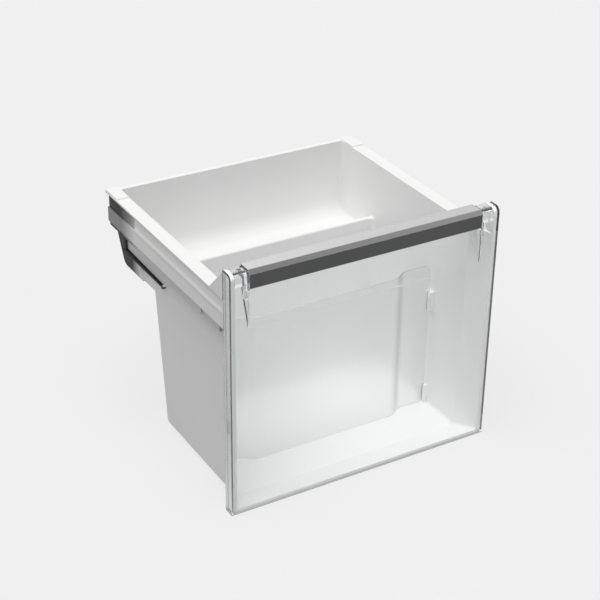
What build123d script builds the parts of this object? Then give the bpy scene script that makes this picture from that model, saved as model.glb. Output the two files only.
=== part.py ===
from build123d import *
import os

# Pull-out fresh-food drawer of a built-in refrigerator.
# Frame: +Z up, front facing -Y, origin under the middle of the drawer, millimetres.

# Overall
width = 466.0
depth = 432.0
height = 415.0

# Tub
wall = 2.5
floor_thick = 3.0
cheek_height = 45.0
rim_width = 23.0
rim_thick = 3.0
rim_turn_down = 28.0
skirt_recess = 2.4
skirt_draft = 0.9
bead_height = 8.0
bead_lip = 2.0
bead_stand_out = 1.6
rear_rim_width = 10.0
rear_turn_down = 12.0
wall_lean = 5.5
bin_length = 289.0
bin_rear_lean = 23.5
bin_corner = 12.0
foot_round = 5.0
shelf_height = 237.0
shelf_heel = 26.0
lip_rise = 29.0
lip_thick = 8.0
lip_round = 3.0
rear_wall_lean = 2.0
rear_corner = 4.0
mouth_length = 42.0
collar_lip = 5.6
collar_foot = 5.5
cheek_length = 42.0
cheek_thick = 3.0
dimple_radius = 1.4
dimple_depth = 1.0
dimple_inset = 88.0
dimple_height = 260.0

# Front panel
panel_wall = 3.0
panel_flange = 21.5
panel_nose = 10.0
panel_foot = 3.0
panel_gap = 0.4
grip_height = 61.4
grip_depth = 24.5
grip_wall = 2.5
grip_round = 1.2
groove_width = 1.6
groove_depth = 0.6
groove_inset = 13.0

# Handle
corner_width = 32.0
handle_depth = 27.5
handle_drop = 28.6
handle_bevel = 6.3
handle_wall = 3.0
handle_hook = 10.0
inlay_thick = 1.2
inlay_margin = 0.4
inlay_gap = 0.1
end_block_depth = 14.0
end_block_height = 19.0
end_rib_thick = 3.0
end_rib_drop = 24.0
end_rib_depth = 8.0
handle_clip_width = 22.0
handle_clip_depth = 12.0
handle_clip_height = 8.0
handle_clip_count = 3
handle_clip_pitch = 150.0

# Rails under the rim
skirt_drop = 53.0
skirt_thick = 2.5
rail_set_in = 2.0
strip_height = 11.0
strip_width = 13.0
strip_set_in = 0.6
strip_start = 38.0
strip_round = 1.0
notch_inset = 52.0
notch_length = 14.0
notch_depth = 2.5

# Roller carriage
carriage_end = 3.0
carriage_length = 103.7
carriage_drop = 61.0
plate_thick = 3.0
plate_sink = 2.0
blade_shoulder_drop = 19.0
blade_drop = 65.0
blade_set_back = 20.0
blade_inset = 23.0
blade_slant = 10.0
blade_corner = 16.0
post_length = 28.0
arm_drop = 42.5
arm_height = 2.4
arm_root_height = 6.0
arm_length = 139.0
eye_radius = 3.2
rivet_radius = 1.5
rivet_head_radius = 2.4
rivet_head = 1.0
rivet_length = 5.0
rivet_inset = 7.0
roller_radius = 11.0
roller_width = 7.5
roller_recess = 1.0
roller_recess_out = 9.0
roller_recess_in = 6.0
roller_hub_radius = 4.5
roller_play = 0.4
roller_rise = 8.0
roller_inset = 23.0
roller_pitch = 58.0
pin_radius = 2.5

# Raised rim ends
rim_end_length = 45.0
rim_end_height = 3.0
rim_end_set_in = 0.4
rim_end_round = 2.2

# Bottle divider and its clips
divider_thick = 2.0
divider_at = 127.0
divider_step = 14.0
divider_side_gap = 2.5
divider_run = 46.0
divider_bend = 34.0
divider_top = 262.0
divider_foot_cut = 10.0
divider_top_cut = 9.0
clip_length = 34.0
clip_depth = 14.0
clip_grip = 4.5
clip_end_gap = 0.6
clip_low_at = 20.0
clip_high_at = 199.0

# Snap block
snap_height = 23.0
snap_length = 9.0
snap_depth = 2.0
snap_rise = 157.0
snap_clear = 0.15

# Clearances
piece_gap = 0.3
pin_fit = 0.05
slot_gap = 0.35
snap_gap = 0.2

# Derived places
front = -depth / 2
rear = depth / 2
rim_outer = width / 2
rim_height = height - cheek_height
rim_inner = rim_outer - rim_width
foot_half = rim_inner - wall_lean
inner_rear = rear - rear_rim_width
rear_at_shelf = inner_rear - rear_wall_lean
flange_back = front + panel_flange
mouth_back = front + mouth_length
ceiling = rim_height - rim_thick
shelf_floor = shelf_height + floor_thick
lip_height = shelf_floor + lip_rise
bin_low = front + bin_length
bin_slope = bin_rear_lean / shelf_height
bin_at_lip = bin_low + bin_slope * lip_height
bin_at_rim = bin_low + bin_slope * rim_height
lip_back = bin_at_lip - wall + lip_thick
collar_outer = rim_outer - panel_wall - panel_gap
collar_inner = collar_outer - collar_lip
collar_front = front + panel_wall + panel_gap
collar_low = panel_wall + panel_gap
collar_top = height - panel_wall - panel_gap
skirt_top = rim_height - rim_turn_down
skirt_bottom = rim_height - skirt_drop
skirt_outer = rim_outer - skirt_recess
skirt_inner = skirt_outer - skirt_thick
bead_outer = skirt_outer + bead_stand_out
rail_outer = rim_outer - rail_set_in
carriage_outer = rail_outer - skirt_thick - piece_gap
carriage_rear = rear - carriage_end
carriage_front = carriage_rear - carriage_length
skirt_back = carriage_front - piece_gap
strip_front = front + strip_start
plate_inner = rim_inner + wall - plate_sink
plate_outer = plate_inner + plate_sink + plate_thick
pin_start = rim_inner + wall + piece_gap
post_front = carriage_rear - post_length
carriage_bottom = rim_height - carriage_drop
blade_shoulder = carriage_bottom - blade_shoulder_drop
blade_bottom = carriage_bottom - blade_drop
blade_front = skirt_back + blade_set_back
blade_rear = carriage_rear - blade_inset
arm_bottom = carriage_bottom - arm_drop
arm_root = arm_bottom + arm_root_height
arm_tip = post_front - arm_length
rivet_tip = plate_outer - rivet_length
rivet_places = [(arm_tip, arm_bottom + arm_height / 2),
                (post_front + rivet_inset, (arm_root + carriage_bottom) / 2)]
roller_height = carriage_bottom + roller_rise
roller_rear = carriage_rear - roller_inset
roller_front = roller_rear - roller_pitch
pin_places = [(roller_front, roller_height), (roller_rear, roller_height)]
divider_half = foot_half - divider_side_gap
divider_outer = divider_half - divider_run
divider_inner = divider_outer - divider_bend
divider_y = front + divider_at
bay_y = divider_y - divider_step
clip_start = divider_half - clip_grip
snap_middle = (collar_front + flange_back) / 2
dimple_wall = foot_half + wall_lean * dimple_height / rim_height + wall
grip_half = rim_outer - corner_width
grip_back = front + grip_depth
grip_face = grip_back - grip_wall
handle_low = height - handle_drop
grip_bottom = handle_low - grip_height
sides = {"left": -1, "right": 1}


# A block as wide as the drafted tub, with a sloped rear face, round uprights and a round foot
def moulded_block(grow, y_front, y_low, y_high, z_low, z_high, upright_radius, foot_radius, heel_radius):
    half_foot = foot_half + grow
    half_rim = rim_inner + grow
    with BuildPart() as block:
        with BuildSketch(Plane.YZ) as profile:
            with BuildLine():
                Polyline((y_front, z_low), (y_low, z_low), (y_high, z_high), (y_front, z_high), close=True)
            make_face()
            if heel_radius > 0:
                fillet(profile.vertices().group_by(Axis.Y)[0].sort_by(Axis.X)[-1], radius=heel_radius + grow)
        extrude(amount=width, both=True)
        with BuildSketch(Plane.XZ.offset(-rear - width)):
            with BuildLine():
                Polyline((-half_foot, 0), (half_foot, 0), (half_rim, rim_height), (-half_rim, rim_height),
                         close=True)
            make_face()
        extrude(amount=depth + 2 * width, mode=Mode.INTERSECT)
        if upright_radius > 0:
            back = block.faces().sort_by(Axis.Y)[-1]
            fillet(back.edges().filter_by(Axis.X, reverse=True), radius=upright_radius + grow)
        if foot_radius > 0:
            fillet(block.faces().sort_by(Axis.Z)[0].edges().sort_by(Axis.Y)[1:], radius=foot_radius + grow)
    return block.part


# The flared mouth between the drafted walls and the lip behind the panel
def mouth_block(grow, z_foot):
    lip_foot = collar_low + collar_foot - grow
    at_walls = (mouth_back, foot_half + grow, rim_inner + grow, z_foot)
    at_lip = (collar_front, collar_inner + grow, collar_inner + grow, lip_foot)
    with BuildPart() as block:
        for y_place, half_foot, half_rim, z_low in (at_walls, at_lip):
            with BuildSketch(Plane.XZ.offset(-y_place)) as outline:
                with BuildLine():
                    Polyline((-half_foot, z_low), (half_foot, z_low), (half_rim, rim_height),
                             (-half_rim, rim_height), close=True)
                make_face()
                fillet(outline.vertices().group_by(Axis.Y)[0], radius=foot_round + grow)
        loft()
    return block.part


# The collar that carries the panel, set in by a wall for the channel behind its lip
def collar_block(inset, z_high):
    with BuildPart() as block:
        with BuildSketch(Plane.XZ.offset(-flange_back)) as outline:
            with BuildLine():
                Polyline((inset - collar_outer, collar_low + inset),
                         (collar_outer - inset, collar_low + inset), (collar_outer - inset, z_high),
                         (inset - collar_outer, z_high), close=True)
            make_face()
            fillet(outline.vertices().group_by(Axis.Y)[0], radius=foot_round - inset)
        extrude(amount=flange_back - collar_front - inset)
    return block.part


# A block with the panel's rounded nose, set in by a wall
def panel_block(inset):
    with BuildPart() as block:
        with BuildSketch(Plane.YZ) as profile:
            with BuildLine():
                Polyline((front + inset, inset), (flange_back, inset), (flange_back, height - inset),
                         (front + inset, height - inset), close=True)
            make_face()
            fillet(profile.vertices().group_by(Axis.X)[0].sort_by(Axis.Y)[-1], radius=panel_nose - inset)
        extrude(amount=rim_outer - inset, both=True)
    return block.part


bin_outer = moulded_block(wall, mouth_back, bin_low, bin_at_lip, 0, lip_height, bin_corner, foot_round, 0)
bin_inner = moulded_block(0, mouth_back, bin_low - wall, bin_at_rim - wall, floor_thick, rim_height,
                          bin_corner, foot_round, 0)
top_outer = moulded_block(wall, mouth_back, rear_at_shelf + wall, inner_rear + wall, shelf_height,
                          rim_height, rear_corner, 0, shelf_heel)
shelf_inner = moulded_block(0, lip_back, rear_at_shelf, inner_rear, shelf_floor, rim_height,
                            rear_corner, 0, shelf_heel)
over_lip = moulded_block(0, mouth_back, lip_back + lip_thick, lip_back + lip_thick, lip_height, rim_height,
                         0, 0, 0)
mouth_outer = mouth_block(wall, 0)
mouth_inner = mouth_block(0, floor_thick)
collar_outside = collar_block(0, rim_height)
collar_inside = collar_block(wall, ceiling)

# Tub: deep bin, raised rear shelf, rims, cheeks and collar with its posts in one moulding
with BuildPart() as tub:
    add(collar_outside)
    add(collar_inside, mode=Mode.SUBTRACT)
    add(mouth_outer)
    add(bin_outer)
    add(top_outer)
    with BuildSketch(Plane.XY.offset(ceiling)):
        with Locations((0, (flange_back + rear) / 2)):
            Rectangle(width, rear - flange_back)
    extrude(amount=rim_thick)
    for side in sides.values():
        with BuildSketch(Plane.XZ.offset(-flange_back)):
            with BuildLine():
                Polyline((side * skirt_inner, skirt_top), (side * bead_outer, skirt_top),
                         (side * bead_outer, skirt_top + bead_lip),
                         (side * skirt_outer, skirt_top + bead_height),
                         (side * (skirt_outer - skirt_draft), rim_height),
                         (side * skirt_inner, rim_height), close=True)
            make_face()
        extrude(amount=flange_back - skirt_back)
        with BuildSketch(Plane.YZ.offset(side * (rim_outer - cheek_thick / 2))):
            with BuildLine():
                Polyline((flange_back, ceiling), (flange_back + cheek_length, ceiling),
                         (flange_back + cheek_length, rim_height), (flange_back, height - panel_wall),
                         close=True)
            make_face()
        extrude(amount=cheek_thick / 2, both=True)
        with BuildSketch(Plane.YZ.offset(side * collar_inner)) as post:
            with Locations(((collar_front + flange_back) / 2, (ceiling + collar_top) / 2)):
                Rectangle(flange_back - collar_front, collar_top - ceiling)
            fillet(post.vertices().group_by(Axis.X)[0].sort_by(Axis.Y)[-1], radius=panel_nose - panel_wall)
        extrude(amount=side * collar_lip)
    with BuildSketch(Plane.XY.offset(rim_height - rear_turn_down)):
        with Locations((0, rear - wall / 2)):
            Rectangle(width - 2 * (rim_width + rear_corner), wall)
    extrude(amount=rear_turn_down)
    add(bin_inner, mode=Mode.SUBTRACT)
    add(shelf_inner, mode=Mode.SUBTRACT)
    add(over_lip, mode=Mode.SUBTRACT)
    add(mouth_inner, mode=Mode.SUBTRACT)
    lip_edges = tub.edges().filter_by_position(Axis.Z, lip_height - piece_gap, lip_height + piece_gap)
    fillet(lip_edges, radius=lip_round)
    for side in sides.values():
        with BuildSketch(Plane.YZ.offset(side * rivet_tip)):
            with Locations(*rivet_places):
                Circle(rivet_radius + pin_fit)
        extrude(amount=side * rivet_length, mode=Mode.SUBTRACT)
        with BuildSketch(Plane.YZ.offset(side * collar_outer)):
            with Locations((snap_middle, snap_rise)):
                Rectangle(snap_length + 2 * snap_gap, snap_height + 2 * snap_gap)
        extrude(amount=-side * snap_depth, mode=Mode.SUBTRACT)
        with BuildSketch(Plane.YZ.offset(side * (dimple_wall - dimple_depth))):
            with Locations((front + dimple_inset, dimple_height)):
                Circle(dimple_radius)
        extrude(amount=side * 2 * dimple_depth, mode=Mode.SUBTRACT)
tub.part.label = "tub"

# Clear front panel: shallow box, with the sloped finger pocket behind the handle
with BuildPart() as front_panel:
    add(panel_block(0))
    fillet(front_panel.edges().filter_by(Axis.X).group_by(Axis.Z)[0], radius=panel_foot)
    add(panel_block(panel_wall), mode=Mode.SUBTRACT)
    with BuildSketch(Plane.YZ):
        with BuildLine():
            Polyline((front, grip_bottom - panel_wall), (front + panel_wall, grip_bottom - panel_wall),
                     (grip_back, handle_low), (grip_back, height - handle_wall),
                     (front + panel_nose, height - handle_wall), (front + panel_nose, handle_low),
                     (front, handle_low), close=True)
        make_face()
    extrude(amount=grip_half + grip_wall, both=True)
    with BuildSketch(Plane.YZ):
        with BuildLine():
            Polyline((front - panel_wall, grip_bottom), (front, grip_bottom), (grip_face, handle_low),
                     (grip_face, height + panel_wall), (front - panel_wall, height + panel_wall),
                     close=True)
        make_face()
    extrude(amount=grip_half, both=True, mode=Mode.SUBTRACT)
    mouth_edge = front_panel.edges().filter_by(Axis.X).filter_by_position(Axis.Z, grip_bottom - piece_gap,
                                                                        grip_bottom + piece_gap)
    fillet(mouth_edge, radius=grip_round)
    for side in sides.values():
        with BuildSketch(Plane.XY):
            with Locations((side * rim_outer, front + groove_inset)):
                Rectangle(2 * groove_depth, groove_width)
        extrude(amount=height, mode=Mode.SUBTRACT)
front_panel.part.label = "front_panel"

# Handle profile: hollow bar with a bevel, hooked over the top of the panel
bar_half = grip_half - piece_gap
inner_bevel = handle_bevel + handle_wall * (2 ** 0.5 - 1)
hook_front = grip_back + piece_gap
inlay_low = handle_low + inlay_margin
inlay_high = height - handle_bevel - inlay_margin
with BuildPart() as handle_bar:
    with BuildSketch(Plane.YZ):
        with BuildLine():
            Polyline((front, handle_low), (front, height - handle_bevel), (front + handle_bevel, height),
                     (front + handle_depth, height), (front + handle_depth, height - handle_hook),
                     (hook_front, height - handle_hook), (hook_front, height - handle_wall),
                     (front + inner_bevel, height - handle_wall), (front + handle_wall, height - inner_bevel),
                     (front + handle_wall, handle_low), close=True)
        make_face()
        with Locations((front, (inlay_low + inlay_high) / 2)):
            Rectangle(2 * inlay_thick, inlay_high - inlay_low + 2 * inlay_gap, mode=Mode.SUBTRACT)
    extrude(amount=bar_half, both=True)
handle_bar.part.label = "handle_bar"

# Dark strip let into the front of the handle
with BuildPart() as handle_inlay:
    with BuildSketch(Plane.YZ):
        with Locations((front + inlay_thick / 2, (inlay_low + inlay_high) / 2)):
            Rectangle(inlay_thick, inlay_high - inlay_low)
    extrude(amount=bar_half, both=True)
handle_inlay.part.label = "handle_inlay"

# Clips between the handle and the upright wall of the finger pocket
with BuildPart() as handle_clips:
    with BuildSketch(Plane.XY.offset(height - handle_wall)):
        with Locations((0, grip_face - handle_clip_depth / 2)):
            with GridLocations(handle_clip_pitch, 0, handle_clip_count, 1):
                Rectangle(handle_clip_width, handle_clip_depth)
    extrude(amount=-handle_clip_height)
    lower_front = handle_clips.edges().filter_by(Axis.X).group_by(Axis.Z)[0].group_by(Axis.Y)[0]
    chamfer(lower_front, length=handle_clip_height / 2)
handle_clips.part.label = "handle_clips"


# Clear block in each upper corner of the panel, with a rib that runs down beside the handle
def handle_end(side):
    x_in = grip_half + grip_wall + piece_gap
    x_out = collar_inner - piece_gap
    y_face = front + panel_wall + piece_gap
    z_roof = height - panel_wall - piece_gap
    with BuildPart() as block:
        with BuildSketch(Plane.YZ.offset(side * x_in)) as profile:
            with Locations((y_face + end_block_depth / 2, z_roof - end_block_height / 2)):
                Rectangle(end_block_depth, end_block_height)
            fillet(profile.vertices().group_by(Axis.X)[0].sort_by(Axis.Y)[-1], radius=panel_nose - panel_wall)
        extrude(amount=side * (x_out - x_in))
        with BuildSketch(Plane.XY.offset(z_roof - end_block_height)):
            with Locations((side * (x_in + end_rib_thick / 2), y_face + end_rib_depth / 2)):
                Rectangle(end_rib_thick, end_rib_depth)
        extrude(amount=-end_rib_drop)
    return block.part


# Lower half of each skirt, with a ledge in to the tub's wall as far as the carriage
def side_rail(side):
    with BuildPart() as rail:
        with BuildSketch(Plane.XZ.offset(-flange_back)):
            with BuildLine():
                Polyline((side * foot_half, skirt_bottom), (side * rail_outer, skirt_bottom),
                         (side * rail_outer, skirt_top), (side * (rail_outer - skirt_thick), skirt_top),
                         (side * (rail_outer - skirt_thick), skirt_bottom + skirt_thick),
                         (side * foot_half, skirt_bottom + skirt_thick), close=True)
            make_face()
        extrude(amount=flange_back - skirt_back)
        with BuildSketch(Plane.XZ.offset(-skirt_back)):
            with Locations((side * (rail_outer - skirt_thick / 2), (skirt_bottom + skirt_top) / 2)):
                Rectangle(skirt_thick, skirt_top - skirt_bottom)
        extrude(amount=skirt_back - carriage_rear)
        add(top_outer, mode=Mode.SUBTRACT)
        add(mouth_outer, mode=Mode.SUBTRACT)
    return rail.part


# Glide strip under each ledge, with its notch
def glide_strip(side):
    strip_outer = rail_outer - strip_set_in
    with BuildPart() as strip:
        with BuildSketch(Plane.XY.offset(skirt_bottom - strip_height)):
            with Locations((side * (strip_outer - strip_width / 2), (strip_front + skirt_back) / 2)):
                Rectangle(strip_width, skirt_back - strip_front)
        extrude(amount=strip_height)
        fillet(strip.edges().filter_by(Axis.Y).group_by(Axis.Z)[0], radius=strip_round)
        with BuildSketch(Plane.XY.offset(skirt_bottom - strip_height)):
            with Locations((side * strip_outer, strip_front + notch_inset)):
                Rectangle(2 * notch_depth, notch_length)
        extrude(amount=strip_height, mode=Mode.SUBTRACT)
        add(mouth_outer, mode=Mode.SUBTRACT)
    return strip.part


# Roller carriage: wall plate with blade and arm, roof, outer cheek and end web
def carriage(side):
    cheek_in = carriage_outer - plate_thick
    roof_low = ceiling - plate_thick
    with BuildPart() as frame:
        with BuildSketch(Plane.YZ.offset(side * plate_inner)) as outline:
            with BuildLine():
                Polyline((carriage_front, carriage_bottom), (carriage_front, ceiling),
                         (carriage_rear, ceiling), (carriage_rear, blade_shoulder),
                         (blade_rear, blade_bottom), (blade_front - blade_slant, blade_bottom),
                         (blade_front, arm_bottom),
                         (arm_tip, arm_bottom), (arm_tip, arm_bottom + arm_height), (post_front, arm_root),
                         (post_front, carriage_bottom), close=True)
            make_face()
            fillet(outline.vertices().group_by(Axis.Y)[0].sort_by(Axis.X)[-1], radius=blade_corner)
            with Locations(rivet_places[0]):
                Circle(eye_radius)
        extrude(amount=side * (plate_outer - plate_inner))
        with BuildSketch(Plane.XZ.offset(-carriage_front)):
            with BuildLine():
                Polyline((side * plate_inner, ceiling), (side * carriage_outer, ceiling),
                         (side * carriage_outer, carriage_bottom), (side * cheek_in, carriage_bottom),
                         (side * cheek_in, roof_low), (side * plate_inner, roof_low), close=True)
            make_face()
        extrude(amount=carriage_front - carriage_rear)
        with BuildSketch(Plane.XZ.offset(-carriage_rear)):
            with Locations((side * (plate_inner + carriage_outer) / 2, (carriage_bottom + ceiling) / 2)):
                Rectangle(carriage_outer - plate_inner, ceiling - carriage_bottom)
        extrude(amount=plate_thick)
        add(top_outer, mode=Mode.SUBTRACT)
        add(bin_outer, mode=Mode.SUBTRACT)
        with BuildSketch(Plane.YZ.offset(side * foot_half)):
            with Locations(*pin_places):
                Circle(pin_radius + pin_fit)
            with Locations(*rivet_places):
                Circle(rivet_radius + pin_fit)
        extrude(amount=side * (rim_outer - foot_half), mode=Mode.SUBTRACT)
    return frame.part


# Rivets that hold the carriage to the tub's wall
def carriage_rivets(side):
    with BuildPart() as rivets:
        with BuildSketch(Plane.YZ.offset(side * plate_outer)):
            with Locations(*rivet_places):
                Circle(rivet_radius)
        extrude(amount=-side * rivet_length)
        with BuildSketch(Plane.YZ.offset(side * plate_outer)):
            with Locations(*rivet_places):
                Circle(rivet_head_radius)
        extrude(amount=side * rivet_head)
    return rivets.part


# Steel pins through the carriage
def roller_pins(side):
    with BuildPart() as pins:
        with BuildSketch(Plane.YZ.offset(side * pin_start)):
            with Locations(*pin_places):
                Circle(pin_radius)
        extrude(amount=side * (carriage_outer - pin_start))
    return pins.part


# Roller with a hub as long as the gap in the carriage and a dished face on each side
def roller(side, roller_y):
    space = carriage_outer - plate_thick - plate_outer
    middle = side * (plate_outer + space / 2)
    with BuildPart() as wheel:
        with BuildSketch(Plane.YZ.offset(middle)):
            with Locations((roller_y, roller_height)):
                Circle(roller_radius)
        extrude(amount=roller_width / 2, both=True)
        fillet(wheel.edges().filter_by(GeomType.CIRCLE), radius=roller_recess / 2)
        for turn in (-1, 1):
            with BuildSketch(Plane.YZ.offset(middle + turn * roller_width / 2)):
                with Locations((roller_y, roller_height)):
                    Circle(roller_recess_out)
                    Circle(roller_recess_in, mode=Mode.SUBTRACT)
            extrude(amount=-turn * roller_recess, mode=Mode.SUBTRACT)
        with BuildSketch(Plane.YZ.offset(middle)):
            with Locations((roller_y, roller_height)):
                Circle(roller_hub_radius)
        extrude(amount=space / 2 - roller_play, both=True)
        with BuildSketch(Plane.YZ.offset(middle)):
            with Locations((roller_y, roller_height)):
                Circle(pin_radius + pin_fit)
        extrude(amount=space, both=True, mode=Mode.SUBTRACT)
    return wheel.part


# Raised last stretch of each side rim
def rim_end(side):
    with BuildPart() as pad:
        with BuildSketch(Plane.XY.offset(rim_height)):
            with Locations((side * (rim_outer + rim_inner) / 2, rear - rim_end_length / 2)):
                Rectangle(rim_width - 2 * rim_end_set_in, rim_end_length - 2 * rim_end_set_in)
        extrude(amount=rim_end_height)
        fillet(pad.faces().sort_by(Axis.Z)[-1].edges(), radius=rim_end_round)
    return pad.part


# Snap block between the collar and the panel's side flange
def panel_snap(side):
    with BuildPart() as snap:
        with BuildSketch(Plane.YZ.offset(side * (collar_outer - snap_depth))):
            with Locations((snap_middle, snap_rise)):
                Rectangle(snap_length, snap_height)
        extrude(amount=side * (snap_depth + panel_gap - snap_clear))
    return snap.part


# Clip that guides one upright edge of the divider
def divider_clip(side, clip_z):
    slot_length = clip_grip + clip_end_gap
    with BuildPart() as clip:
        with BuildSketch(Plane.XY.offset(clip_z - clip_length / 2)):
            with Locations((side * (clip_start + rim_outer) / 2, divider_y)):
                Rectangle(rim_outer - clip_start, clip_depth)
            with Locations((side * (clip_start + slot_length / 2), divider_y)):
                Rectangle(slot_length, divider_thick + 2 * slot_gap, mode=Mode.SUBTRACT)
        extrude(amount=clip_length)
        add(bin_inner, mode=Mode.INTERSECT)
    return clip.part


# Waved upright sheet between the bottles and the rest of the bin
with BuildPart() as bottle_divider:
    with BuildSketch(Plane.XY.offset(floor_thick + piece_gap)):
        with BuildLine():
            for shift in (-divider_thick / 2, divider_thick / 2):
                for side in sides.values():
                    Line((side * divider_half, divider_y + shift), (side * divider_outer, divider_y + shift))
                    Spline((side * divider_outer, divider_y + shift), (side * divider_inner, bay_y + shift),
                           tangents=[(-side, 0), (-side, 0)])
                Line((-divider_inner, bay_y + shift), (divider_inner, bay_y + shift))
            for side in sides.values():
                Line((side * divider_half, divider_y - divider_thick / 2),
                     (side * divider_half, divider_y + divider_thick / 2))
        make_face()
    extrude(amount=divider_top - floor_thick - piece_gap)
    corners = bottle_divider.edges().filter_by(Axis.Y).group_by(Axis.Z)
    chamfer(corners[0], length=divider_foot_cut)
    corners = bottle_divider.edges().filter_by(Axis.Y).group_by(Axis.Z)
    chamfer(corners[-1], length=divider_top_cut)
bottle_divider.part.label = "bottle_divider"

pieces = [tub.part, front_panel.part, handle_bar.part, handle_inlay.part, handle_clips.part,
          bottle_divider.part]
for word, side in sides.items():
    sided = {"handle_end": handle_end(side), "side_rail": side_rail(side), "glide_strip": glide_strip(side),
             "carriage": carriage(side), "carriage_rivets": carriage_rivets(side),
             "roller_pins": roller_pins(side), "rim_end": rim_end(side), "panel_snap": panel_snap(side),
             "divider_clip_lower": divider_clip(side, clip_low_at),
             "divider_clip_upper": divider_clip(side, clip_high_at),
             "roller_front": roller(side, roller_front), "roller_rear": roller(side, roller_rear)}
    for name, piece in sided.items():
        piece.label = name + "_" + word
        pieces.append(piece)

os.makedirs("parts", exist_ok=True)
for piece in pieces:
    export_step(piece, "parts/" + piece.label + ".step")
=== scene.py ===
import math
import bpy
from mathutils import Matrix, Vector

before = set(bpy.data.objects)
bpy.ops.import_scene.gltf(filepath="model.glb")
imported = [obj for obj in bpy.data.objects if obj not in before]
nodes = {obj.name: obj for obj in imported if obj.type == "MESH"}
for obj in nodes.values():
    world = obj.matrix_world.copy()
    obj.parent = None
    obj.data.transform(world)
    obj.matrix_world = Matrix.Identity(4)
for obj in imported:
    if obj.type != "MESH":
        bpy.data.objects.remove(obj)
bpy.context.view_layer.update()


# The tub: one injection moulding in white styrene, about two and a half millimetres thick.
# The tool leaves a fine satin grain, the large walls vary a little in gloss where the melt flowed,
# and the rims carry the faint rub of a drawer that is pulled out every day.
def shade(tree, kind, sockets=None, **settings):
    node = tree.nodes.new("ShaderNode" + kind)
    for setting, value in settings.items():
        setattr(node, setting, value)
    for socket, value in (sockets or {}).items():
        if isinstance(value, bpy.types.NodeSocket):
            tree.links.new(value, node.inputs[socket])
        else:
            node.inputs[socket].default_value = value
    return node


def place_on(tree):
    return shade(tree, "TexCoord").outputs["Object"]


def noise(tree, place, scale, detail, distortion=0.0):
    return shade(tree, "TexNoise", {"Vector": place, "Scale": scale, "Detail": detail,
                                    "Distortion": distortion}).outputs["Fac"]


def stretched(tree, place, scale, turn=(0.0, 0.0, 0.0)):
    return shade(tree, "Mapping", {"Vector": place, "Rotation": turn, "Scale": scale}).outputs["Vector"]


def ramp(tree, value, start, end, low=0.0, high=1.0):
    return shade(tree, "MapRange", {"Value": value, "From Min": start, "From Max": end,
                                    "To Min": low, "To Max": high}).outputs["Result"]


def work_out(tree, operation, *values):
    return shade(tree, "Math", dict(enumerate(values)), operation=operation).outputs[0]


def tint(tree, mask, low, high):
    mixed = shade(tree, "Mix", {"Factor": mask}, data_type="RGBA")
    for socket, color in ((6, low), (7, high)):
        if isinstance(color, bpy.types.NodeSocket):
            tree.links.new(color, mixed.inputs[socket])
        else:
            mixed.inputs[socket].default_value = (*color, 1)
    return mixed.outputs[2]


def start_group(name, takes, gives):
    group = bpy.data.node_groups.new(name, "ShaderNodeTree")
    for label, value in takes.items():
        socket = group.interface.new_socket(name=label, in_out="INPUT", socket_type="NodeSocketFloat")
        socket.default_value = value
    for label in gives:
        group.interface.new_socket(name=label, in_out="OUTPUT", socket_type="NodeSocketFloat")
    return group, group.nodes.new("NodeGroupInput").outputs, group.nodes.new("NodeGroupOutput").inputs


def make_moulded_skin():
    group, given, result = start_group("MouldedSkin", {"Grain Scale": 900.0, "Flow Scale": 6.0},
                                       ["Grain", "Flow"])
    place = place_on(group)
    melt = noise(group, place, given["Flow Scale"], 2.0, distortion=0.6)
    group.links.new(noise(group, place, given["Grain Scale"], 3.0), result["Grain"])
    group.links.new(ramp(group, melt, 0.32, 0.68), result["Flow"])
    return group


def make_edge_rub():
    group, given, result = start_group("EdgeRub", {"Edge Width": 0.0008, "Break Up": 120.0}, ["Rub"])
    soft = shade(group, "Bevel", {"Radius": given["Edge Width"]}, samples=4)
    sharp = shade(group, "NewGeometry")
    turn = shade(group, "VectorMath", {0: soft.outputs["Normal"], 1: sharp.outputs["Normal"]},
                 operation="DOT_PRODUCT")
    edge = ramp(group, turn.outputs["Value"], 0.995, 0.90)
    worn = ramp(group, noise(group, place_on(group), given["Break Up"], 4.0), 0.42, 0.62)
    group.links.new(work_out(group, "MULTIPLY", edge, worn), result["Rub"])
    return group


def make_fine_scuffs():
    group, given, result = start_group("FineScuffs", {"Scuff Scale": 30.0, "Coverage": 0.5}, ["Scuffs"])
    place = place_on(group)
    every = 0.0
    for turn, stretch in ((0.5, 9.0), (-0.9, 12.0), (1.9, 7.0)):
        lay = stretched(group, place, (1.0, stretch, 1.6), (turn, 0.4 * turn, turn))
        off_middle = work_out(group, "SUBTRACT", noise(group, lay, given["Scuff Scale"], 1.0), 0.5)
        line = ramp(group, work_out(group, "ABSOLUTE", off_middle), 0.006, 0.0)
        every = work_out(group, "MAXIMUM", every, line)
    where = ramp(group, noise(group, place, 5.0, 3.0), 0.62, 0.38)
    few = work_out(group, "MULTIPLY", where, given["Coverage"])
    group.links.new(work_out(group, "MULTIPLY", every, few), result["Scuffs"])
    return group


moulded_skin = make_moulded_skin()
edge_rub = make_edge_rub()
fine_scuffs = make_fine_scuffs()


def start_material(name):
    material = bpy.data.materials.new(name)
    material.use_nodes = True
    return material, material.node_tree, material.node_tree.nodes["Principled BSDF"]


def use_group(tree, group, **values):
    used = shade(tree, "Group")
    used.node_tree = group
    for socket, value in values.items():
        used.inputs[socket.replace("_", " ")].default_value = value
    return used.outputs


def give_relief(tree, shader, height, depth, edge_round=None, distance=0.0001):
    sockets = {"Height": height, "Strength": depth, "Distance": distance}
    if edge_round:
        sockets["Normal"] = shade(tree, "Bevel", {"Radius": edge_round}, samples=4).outputs["Normal"]
    relief = shade(tree, "Bump", sockets)
    tree.links.new(relief.outputs["Normal"], shader.inputs["Normal"])


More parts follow.
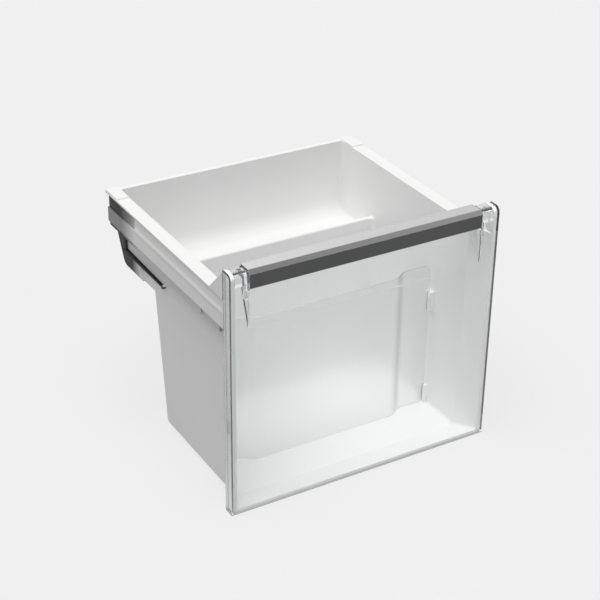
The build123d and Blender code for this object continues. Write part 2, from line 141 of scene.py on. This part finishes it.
def moulded_plastic(name, color, flow_color, rub_color, roughness, grain_scale, grain_depth, edge_round):
    material, tree, shader = start_material(name)
    skin = use_group(tree, moulded_skin, Grain_Scale=grain_scale)
    rub = use_group(tree, edge_rub, Edge_Width=edge_round)
    scuffs = use_group(tree, fine_scuffs)
    ground = tint(tree, skin["Flow"], color, flow_color)
    tree.links.new(tint(tree, rub["Rub"], ground, rub_color), shader.inputs["Base Color"])
    gloss = ramp(tree, skin["Flow"], 0.0, 1.0, roughness - 0.04, roughness + 0.04)
    scratched = work_out(tree, "MULTIPLY_ADD", scuffs["Scuffs"], 0.12, gloss)
    tree.links.new(scratched, shader.inputs["Roughness"])
    give_relief(tree, shader, skin["Grain"], grain_depth, edge_round)
    return material


def dress(names, material):
    for name in names:
        mesh = nodes[name].data
        mesh.materials.clear()
        mesh.materials.append(material)


white_styrene = moulded_plastic("white_styrene", color=(0.925, 0.925, 0.92), flow_color=(0.910, 0.910, 0.905),
                                rub_color=(0.86, 0.86, 0.85), roughness=0.36, grain_scale=1400.0,
                                grain_depth=0.25, edge_round=0.0008)
dress(["tub"], white_styrene)


# The side rails: a separate white cover that carries each skirt on downwards, snapped under its bead.
# Its ledge reaches in to the tub's side, and towards the rear only its outer wall runs on, which carries
# painted shade there, darkening towards the rear as on the carriage.
rail_shade_front = 0.109
rail_shade_rear = 0.160
rail_styrene = moulded_plastic("rail_styrene", color=(0.915, 0.915, 0.91), flow_color=(0.895, 0.895, 0.89),
                               rub_color=(0.85, 0.85, 0.84), roughness=0.32, grain_scale=1200.0,
                               grain_depth=0.20, edge_round=0.0006)


def spot_on(tree):
    return shade(tree, "SeparateXYZ", {"Vector": place_on(tree)}).outputs


def paint_rear_shade(material, front, rear, color):
    tree = material.node_tree
    base = tree.nodes["Principled BSDF"].inputs["Base Color"]
    body = base.links[0].from_socket
    tree.links.new(tint(tree, ramp(tree, spot_on(tree)["Y"], front, rear), body, color), base)


# Painted shade: the rails' colour darkens towards their rear end.
paint_rear_shade(rail_styrene, rail_shade_front, rail_shade_rear, (0.22, 0.22, 0.22))
dress(["side_rail_left", "side_rail_right"], rail_styrene)


# The rim ends: low white pads with rounded edges that close the last stretch of each side rim.
# They're styrene too, a touch glossier because they are small and fill the tool well.
pad_styrene = moulded_plastic("pad_styrene", color=(0.925, 0.925, 0.92), flow_color=(0.915, 0.915, 0.91),
                              rub_color=(0.87, 0.87, 0.86), roughness=0.30, grain_scale=1200.0,
                              grain_depth=0.15, edge_round=0.0006)
dress(["rim_end_left", "rim_end_right"], pad_styrene)


# The glide strips: grey acetal that slides along the cabinet's rails, pressed up under each ledge.
# Running to and fro draws long fine lines in it, and its lower edge is rubbed pale.
def glide_acetal():
    material, tree, shader = start_material("glide_acetal")
    lines = noise(tree, stretched(tree, place_on(tree), (60.0, 1.2, 60.0)), 22.0, 4.0)
    skin = use_group(tree, moulded_skin, Grain_Scale=1600.0)
    rub = use_group(tree, edge_rub, Edge_Width=0.0009, Break_Up=70.0)
    body = tint(tree, lines, (0.54, 0.54, 0.55), (0.63, 0.63, 0.64))
    tree.links.new(tint(tree, rub["Rub"], body, (0.72, 0.72, 0.72)), shader.inputs["Base Color"])
    tree.links.new(ramp(tree, lines, 0.0, 1.0, 0.32, 0.50), shader.inputs["Roughness"])
    give_relief(tree, shader, work_out(tree, "MULTIPLY_ADD", lines, 0.6, skin["Grain"]), 0.25, 0.0006)
    return material


dress(["glide_strip_left", "glide_strip_right"], glide_acetal())


# The roller carriages: glass-filled nylon, riveted up under the rear of each rim.
# The moulding is matt and mottled by its fibres. Its dark colour is partly the nylon's own and partly painted
# shade: darkest at the rear, it fades to pale where it meets the skirt and the tub's wall, and its thin arm,
# which rises a little towards the rear, is painted black all over as the shade of a gap.
carriage_split = 0.300
cheek_shade_front = 0.110
cheek_shade_rear = 0.168
blade_shade_front = 0.130
blade_shade_rear = 0.160
arm_foot = 0.26630
arm_level = 0.26795
arm_rise = 0.0259
soft_line = 0.0001


def carriage_nylon():
    material, tree, shader = start_material("carriage_nylon")
    shader.inputs["Specular IOR Level"].default_value = 0.15
    spot = spot_on(tree)
    fibre_lay = stretched(tree, place_on(tree), (1.0, 5.0, 1.0), (0.3, 0.2, 0.5))
    fibres = noise(tree, fibre_lay, 380.0, 3.0)
    skin = use_group(tree, moulded_skin, Grain_Scale=1300.0, Flow_Scale=22.0)
    rub = use_group(tree, edge_rub, Edge_Width=0.0010, Break_Up=160.0)
    matt = tint(tree, fibres, (0.045, 0.045, 0.047), (0.075, 0.075, 0.078))
    worn = tint(tree, rub["Rub"], matt, (0.17, 0.17, 0.175))
    # Painted shade: the cheek and the blade go from pale at the front to the dark body towards the rear.
    cheek_shade_mask = work_out(tree, "POWER", ramp(tree, spot["Y"], cheek_shade_front, cheek_shade_rear), 0.5)
    cheek = tint(tree, cheek_shade_mask, (0.88, 0.88, 0.88), worn)
    blade = tint(tree, ramp(tree, spot["Y"], blade_shade_front, blade_shade_rear), (0.86, 0.86, 0.855), worn)
    upper = ramp(tree, spot["Z"], carriage_split - 0.001, carriage_split + 0.001)
    # Painted shade: the thin arm is coloured black as the shadow in the gap under the rail.
    level = work_out(tree, "MULTIPLY_ADD", spot["Y"], -arm_rise, spot["Z"])
    above_foot = ramp(tree, spot["Z"], arm_foot, arm_foot + 1.5 * soft_line)
    under_top = ramp(tree, level, arm_level + soft_line, arm_level)
    arm_gap_shade = work_out(tree, "MULTIPLY", above_foot, under_top)
    gap_shaded = tint(tree, arm_gap_shade, tint(tree, upper, blade, cheek), (0.008, 0.008, 0.008))
    tree.links.new(gap_shaded, shader.inputs["Base Color"])
    tree.links.new(ramp(tree, skin["Flow"], 0.0, 1.0, 0.42, 0.58), shader.inputs["Roughness"])
    give_relief(tree, shader, work_out(tree, "ADD", fibres, skin["Grain"]), 0.35, 0.0006)
    return material


dress(["carriage_left", "carriage_right"], carriage_nylon())


# The rivets and roller pins: turned steel, headed over at the outer face. The pins are plated and the
# rivets blackened. Turning leaves fine lengthwise and ring marks, and the finish is duller in small
# clouds.
def turned_steel(name, low, high):
    material, tree, shader = start_material(name)
    shader.inputs["Metallic"].default_value = 1.0
    place = place_on(tree)
    turned = noise(tree, stretched(tree, place, (40.0, 1.5, 1.5)), 60.0, 3.0)
    clouds = noise(tree, place, 260.0, 4.0)
    tree.links.new(tint(tree, clouds, low, high), shader.inputs["Base Color"])
    tree.links.new(ramp(tree, clouds, 0.0, 1.0, 0.22, 0.40), shader.inputs["Roughness"])
    give_relief(tree, shader, turned, 0.3, 0.0003, distance=0.00005)
    return material


pin_steel = turned_steel("pin_steel", (0.50, 0.50, 0.51), (0.68, 0.68, 0.69))
black_steel = turned_steel("black_steel", (0.012, 0.012, 0.013), (0.024, 0.024, 0.025))
dress(["roller_pins_left", "roller_pins_right"], pin_steel)
dress(["carriage_rivets_left", "carriage_rivets_right"], black_steel)


# The rollers: pale acetal wheels that turn on the pins and run on the cabinet's rails.
# Each tyre has a grey track where it meets the rail, and faint ring marks from the tool.
axle_height = 0.317
axle_lines = {"front": 0.132, "rear": 0.190}
tyre_inner = 0.0102
tyre_outer = 0.0109


def roller_acetal(axle_line):
    material, tree, shader = start_material("roller_acetal")
    hub = shade(tree, "VectorMath", {0: place_on(tree), 1: (0.0, -axle_line, -axle_height)}, operation="ADD")
    flat = shade(tree, "VectorMath", {0: hub.outputs["Vector"], 1: (0.0, 1.0, 1.0)}, operation="MULTIPLY")
    radius = shade(tree, "VectorMath", {0: flat.outputs["Vector"]}, operation="LENGTH").outputs["Value"]
    tyre = ramp(tree, radius, tyre_inner, tyre_outer)
    rings = work_out(tree, "SINE", work_out(tree, "MULTIPLY", radius, 9000.0))
    skin = use_group(tree, moulded_skin, Grain_Scale=1500.0, Flow_Scale=40.0)
    dirt = work_out(tree, "MULTIPLY", tyre, skin["Grain"])
    body = tint(tree, skin["Flow"], (0.74, 0.74, 0.72), (0.68, 0.68, 0.66))
    tree.links.new(tint(tree, dirt, body, (0.30, 0.30, 0.29)), shader.inputs["Base Color"])
    tree.links.new(ramp(tree, skin["Flow"], 0.0, 1.0, 0.34, 0.46), shader.inputs["Roughness"])
    give_relief(tree, shader, rings, 0.12, distance=0.00005)
    return material


for end, axle_line in axle_lines.items():
    dress(["roller_" + end + "_left", "roller_" + end + "_right"], roller_acetal(axle_line))


# The front panel: clear styrene, moulded as a shallow box that snaps onto the tub's collar.
# It's polished all over, with hair-fine scuffs from wiping. Its drawn side flanges carry painted shade and
# reflection as grey streaks, paler near the bottom; its foot and the rear edge of its flanges carry a painted
# dark shade, where the wall leads the light away, and the front of its left lip a lighter painted shade.
panel_side = 0.2325
panel_face = -0.2158
lip_inner = 0.2240
flange_rear = -0.1946
panel_foot_top = 0.0032


def let_light_by(material, color):
    tree = material.node_tree
    passing = shade(tree, "BsdfTransparent", {"Color": (*color, 1)})
    ray = shade(tree, "LightPath")
    through = shade(tree, "MixShader", {0: ray.outputs["Is Shadow Ray"],
                                        1: tree.nodes["Principled BSDF"].outputs[0], 2: passing.outputs[0]})
    tree.links.new(through.outputs[0], tree.nodes["Material Output"].inputs["Surface"])


def clear_styrene(name, color, roughness, haze, ripple):
    material, tree, shader = start_material(name)
    shader.inputs["Base Color"].default_value = (*color, 1)
    shader.inputs["Transmission Weight"].default_value = 1.0
    shader.inputs["IOR"].default_value = 1.49
    skin = use_group(tree, moulded_skin, Grain_Scale=90.0, Flow_Scale=14.0)
    scuffs = use_group(tree, fine_scuffs, Scuff_Scale=26.0, Coverage=0.35)
    wiped = ramp(tree, skin["Flow"], 0.0, 1.0, roughness, roughness + haze)
    gloss = work_out(tree, "MULTIPLY_ADD", scuffs["Scuffs"], 0.10, wiped)
    tree.links.new(gloss, shader.inputs["Roughness"])
    give_relief(tree, shader, skin["Grain"], ripple, distance=0.0002)
    let_light_by(material, (0.94, 0.94, 0.94))
    return material


def paint_panel_shade(material, color):
    tree = material.node_tree
    spot = spot_on(tree)
    off_middle = work_out(tree, "ABSOLUTE", spot["X"])
    side_wall = ramp(tree, off_middle, panel_side - 0.0003, panel_side + 0.0002)
    # Painted shade and reflection: grey streaks on the side flanges, paler near the bottom.
    streaks = noise(tree, stretched(tree, place_on(tree), (40.0, 40.0, 0.4)), 9.0, 2.0)
    shade_streaked = tint(tree, streaks, (0.56, 0.56, 0.57), (0.76, 0.76, 0.77))
    flange = tint(tree, ramp(tree, spot["Z"], 0.02, 0.16), (0.88, 0.89, 0.89), shade_streaked)
    walled = tint(tree, side_wall, color, flange)
    on_face = ramp(tree, spot["Y"], panel_face + 0.0001, panel_face - 0.0001)
    # Painted shade: only the front of the left lip is toned darker.
    by_lip = ramp(tree, off_middle, lip_inner - 0.0002, lip_inner + 0.0002)
    on_left = work_out(tree, "LESS_THAN", spot["X"], 0.0)
    left_lip_shade = work_out(tree, "MULTIPLY", work_out(tree, "MULTIPLY", on_face, by_lip), on_left)
    with_lip_shade = tint(tree, left_lip_shade, walled, (0.84, 0.84, 0.85))
    # Painted shade: dark lines along the flanges' rear edge and along the panel's foot.
    at_rear = ramp(tree, spot["Y"], flange_rear - 0.0001, flange_rear)
    with_rear_shade = tint(tree, at_rear, with_lip_shade, (0.10, 0.10, 0.11))
    at_foot = ramp(tree, spot["Z"], panel_foot_top + 0.0002, panel_foot_top - 0.0002)
    with_foot_shade = tint(tree, at_foot, with_rear_shade, (0.10, 0.10, 0.11))
    tree.links.new(with_foot_shade, tree.nodes["Principled BSDF"].inputs["Base Color"])


panel_tint = (0.975, 0.98, 0.985)
panel_styrene = clear_styrene("panel_styrene", panel_tint, roughness=0.0, haze=0.02, ripple=0.03)
paint_panel_shade(panel_styrene, panel_tint)
dress(["front_panel"], panel_styrene)


# The snap blocks: small milky styrene catches that hold the panel's flanges on the collar.
# They sit in shallow pockets in the collar and show through the clear flange as a soft grey mark.
snap_styrene = moulded_plastic("snap_styrene", color=(0.66, 0.67, 0.68), flow_color=(0.62, 0.63, 0.64),
                               rub_color=(0.70, 0.70, 0.71), roughness=0.35, grain_scale=1200.0,
                               grain_depth=0.10, edge_round=0.0004)
dress(["panel_snap_left", "panel_snap_right"], snap_styrene)


# The handle: a grey bar with a satin metallic coat, a front bevel and a hooked rear edge.
# The coat is drawn along the bar, so its grain runs from side to side. Its bevel is painted with shade,
# darker than the top, and the top is painted darker and the bevel lighter towards the right.
bar_half = 0.20
bar_top = 0.4149
bevel_top = 0.4145


def handle_coat():
    material, tree, shader = start_material("handle_coat")
    spot = spot_on(tree)
    below_top = ramp(tree, spot["Z"], bar_top, bevel_top)
    # Painted shade: the bevel is darker than the top, the top darkens and the bevel lightens towards the
    # right.
    painted_side_falloff = ramp(tree, spot["X"], -bar_half, bar_half)
    grain = noise(tree, stretched(tree, place_on(tree), (1.0, 70.0, 70.0)), 14.0, 5.0)
    rub = use_group(tree, edge_rub, Edge_Width=0.0007, Break_Up=90.0)
    brushed = tint(tree, grain, (0.60, 0.60, 0.605), (0.70, 0.70, 0.705))
    top = tint(tree, painted_side_falloff, brushed, (0.53, 0.53, 0.535))
    bevel_shade = tint(tree, painted_side_falloff, (0.20, 0.20, 0.205), (0.29, 0.29, 0.295))
    coat = tint(tree, below_top, top, bevel_shade)
    tree.links.new(tint(tree, rub["Rub"], coat, (0.60, 0.60, 0.60)), shader.inputs["Base Color"])
    tree.links.new(ramp(tree, grain, 0.0, 1.0, 0.30, 0.44), shader.inputs["Roughness"])
    give_relief(tree, shader, grain, 0.15, 0.0005)
    return material


dress(["handle_bar"], handle_coat())


# The handle's inlay: a dark plastic strip let into the bar's front face, flush with it.
# It's finely textured, so it stays an even charcoal with a soft gleam.
inlay_charcoal = moulded_plastic("inlay_charcoal", color=(0.112, 0.114, 0.118),
                                 flow_color=(0.103, 0.105, 0.109), rub_color=(0.12, 0.12, 0.125),
                                 roughness=0.42, grain_scale=1800.0, grain_depth=0.30, edge_round=0.0004)
dress(["handle_inlay"], inlay_charcoal)


# The handle clips: three milky blocks with a lead-in chamfer, wedged between bar and panel.
# They hide inside the hollow bar and are only seen from below.
milky_styrene = moulded_plastic("milky_styrene", color=(0.90, 0.91, 0.91), flow_color=(0.87, 0.88, 0.88),
                                rub_color=(0.82, 0.83, 0.83), roughness=0.30, grain_scale=1200.0,
                                grain_depth=0.10, edge_round=0.0004)
dress(["handle_clips"], milky_styrene)


# The handle ends: clear blocks in the panel's upper corners, each with a rib beside the bar.
# They are moulded like the panel and glued in, so they share its polish.
corner_styrene = clear_styrene("corner_styrene", (0.96, 0.97, 0.97), roughness=0.02, haze=0.03, ripple=0.04)
dress(["handle_end_left", "handle_end_right"], corner_styrene)


# The bottle divider: a waved sheet of styrene, frosted on both faces, that lifts out of its clips.
# The frosting scatters what stands behind it, and fine scuffs show where things have slid along it.
def frosted_sheet():
    material, tree, shader = start_material("frosted_sheet")
    shader.inputs["Base Color"].default_value = (0.95, 0.96, 0.96, 1)
    shader.inputs["Transmission Weight"].default_value = 1.0
    shader.inputs["IOR"].default_value = 1.25
    skin = use_group(tree, moulded_skin, Grain_Scale=700.0, Flow_Scale=16.0)
    scuffs = use_group(tree, fine_scuffs, Scuff_Scale=34.0, Coverage=0.6)
    frost = ramp(tree, skin["Flow"], 0.0, 1.0, 0.30, 0.36)
    gloss = work_out(tree, "MULTIPLY_ADD", scuffs["Scuffs"], 0.10, frost)
    tree.links.new(gloss, shader.inputs["Roughness"])
    give_relief(tree, shader, skin["Grain"], 0.05)
    let_light_by(material, (0.90, 0.90, 0.90))
    return material


dress(["bottle_divider"], frosted_sheet())


# The divider's clips: four milky guides on the tub's walls, each with a slot for the sheet's edge.
# They are welded to the wall, two on a side, and are the palest pieces inside the bin.
clip_styrene = moulded_plastic("clip_styrene", color=(0.95, 0.95, 0.95), flow_color=(0.93, 0.93, 0.93),
                               rub_color=(0.88, 0.88, 0.88), roughness=0.28, grain_scale=1200.0,
                               grain_depth=0.10, edge_round=0.0004)
dress(["divider_clip_upper_left", "divider_clip_upper_right", "divider_clip_lower_left",
       "divider_clip_lower_right"], clip_styrene)


# The studio: a pale seamless floor under the drawer, which stands lifted out of its cabinet.
# A broad soft lamp hangs overhead, a little to the left, and the pale room fills in the rest. The
# camera, the gloss and the clear plastic see floor and room as one pale ground.
floor_reach = 9.0
floor_mesh = bpy.data.meshes.new("studio_floor")
floor_mesh.from_pydata([(-floor_reach, -floor_reach, 0), (floor_reach, -floor_reach, 0),
                        (floor_reach, floor_reach, 0), (-floor_reach, floor_reach, 0)], [], [(0, 1, 2, 3)])
studio_floor = bpy.data.objects.new("studio_floor", floor_mesh)
bpy.context.scene.collection.objects.link(studio_floor)


def seeing_rays(tree, ray):
    direct = work_out(tree, "MAXIMUM", ray["Is Camera Ray"], ray["Is Glossy Ray"])
    return work_out(tree, "MAXIMUM", direct, ray["Is Transmission Ray"])


ground_share = 0.8
paper, paper_tree, paper_shader = start_material("pale_paper")
paper_ray = shade(paper_tree, "LightPath").outputs
paper_tone = tint(paper_tree, paper_ray["Is Camera Ray"], (0.20, 0.20, 0.20), (0.86, 0.86, 0.86))
paper_tree.links.new(paper_tone, paper_shader.inputs["Base Color"])
paper_shader.inputs["Roughness"].default_value = 0.9
paper_shader.inputs["Specular IOR Level"].default_value = 0.1
paper_glow = shade(paper_tree, "Emission", {"Color": (0.872, 0.872, 0.872, 1), "Strength": 1.0})
paper_lift = work_out(paper_tree, "MULTIPLY", seeing_rays(paper_tree, paper_ray), ground_share)
paper_seen = shade(paper_tree, "MixShader", {0: paper_lift, 1: paper_shader.outputs[0],
                                             2: paper_glow.outputs[0]})
paper_tree.links.new(paper_seen.outputs[0], paper_tree.nodes["Material Output"].inputs["Surface"])
floor_mesh.materials.append(paper)

room = bpy.data.worlds.new("pale_room")
room.use_nodes = True
room_tree = room.node_tree
room_light = room_tree.nodes["Background"]
room_light.inputs["Color"].default_value = (1.0, 1.0, 1.0, 1)
room_light.inputs["Strength"].default_value = 0.42
room_seen = shade(room_tree, "Background", {"Color": (0.86, 0.86, 0.86, 1), "Strength": 1.0})
room_rays = seeing_rays(room_tree, shade(room_tree, "LightPath").outputs)
room_mix = shade(room_tree, "MixShader", {0: room_rays, 1: room_light.outputs[0], 2: room_seen.outputs[0]})
room_tree.links.new(room_mix.outputs[0], room_tree.nodes["World Output"].inputs["Surface"])
bpy.context.scene.world = room

lamp_direction = Vector((0.22, 0.10, -0.97))
overhead = bpy.data.lights.new("overhead_softbox", "SUN")
overhead.energy = 1.95
overhead.angle = math.radians(60)
overhead_softbox = bpy.data.objects.new("overhead_softbox", overhead)
overhead_softbox.rotation_euler = lamp_direction.to_track_quat("-Z", "Y").to_euler()
bpy.context.scene.collection.objects.link(overhead_softbox)


# The camera stands about two and a half metres off, to the front left and well above the rim, with a
# short telephoto view, level but for a slight roll.
camera_place = Vector((-1.0840, -1.8561, 1.4103))
view_azimuth = math.radians(30.48)
view_elevation = math.radians(29.19)
view_roll = math.radians(0.76)
sensor_width = 36.0
focal_share = 1510.53 / 600
view_forward = Vector((math.sin(view_azimuth) * math.cos(view_elevation),
                       math.cos(view_azimuth) * math.cos(view_elevation), -math.sin(view_elevation)))
level_right = view_forward.cross(Vector((0, 0, 1))).normalized()
level_up = level_right.cross(view_forward)
view_right = math.cos(view_roll) * level_right + math.sin(view_roll) * level_up
view_up = -math.sin(view_roll) * level_right + math.cos(view_roll) * level_up
lens = bpy.data.cameras.new("studio_camera")
lens.sensor_fit = "HORIZONTAL"
lens.sensor_width = sensor_width
lens.lens = focal_share * sensor_width
lens.clip_end = 60.0
studio_camera = bpy.data.objects.new("studio_camera", lens)
studio_camera.matrix_world = (Matrix.Translation(camera_place)
                              @ Matrix((view_right, view_up, -view_forward)).transposed().to_4x4())
bpy.context.scene.collection.objects.link(studio_camera)
bpy.context.scene.camera = studio_camera
bpy.context.scene.view_settings.view_transform = "Standard"
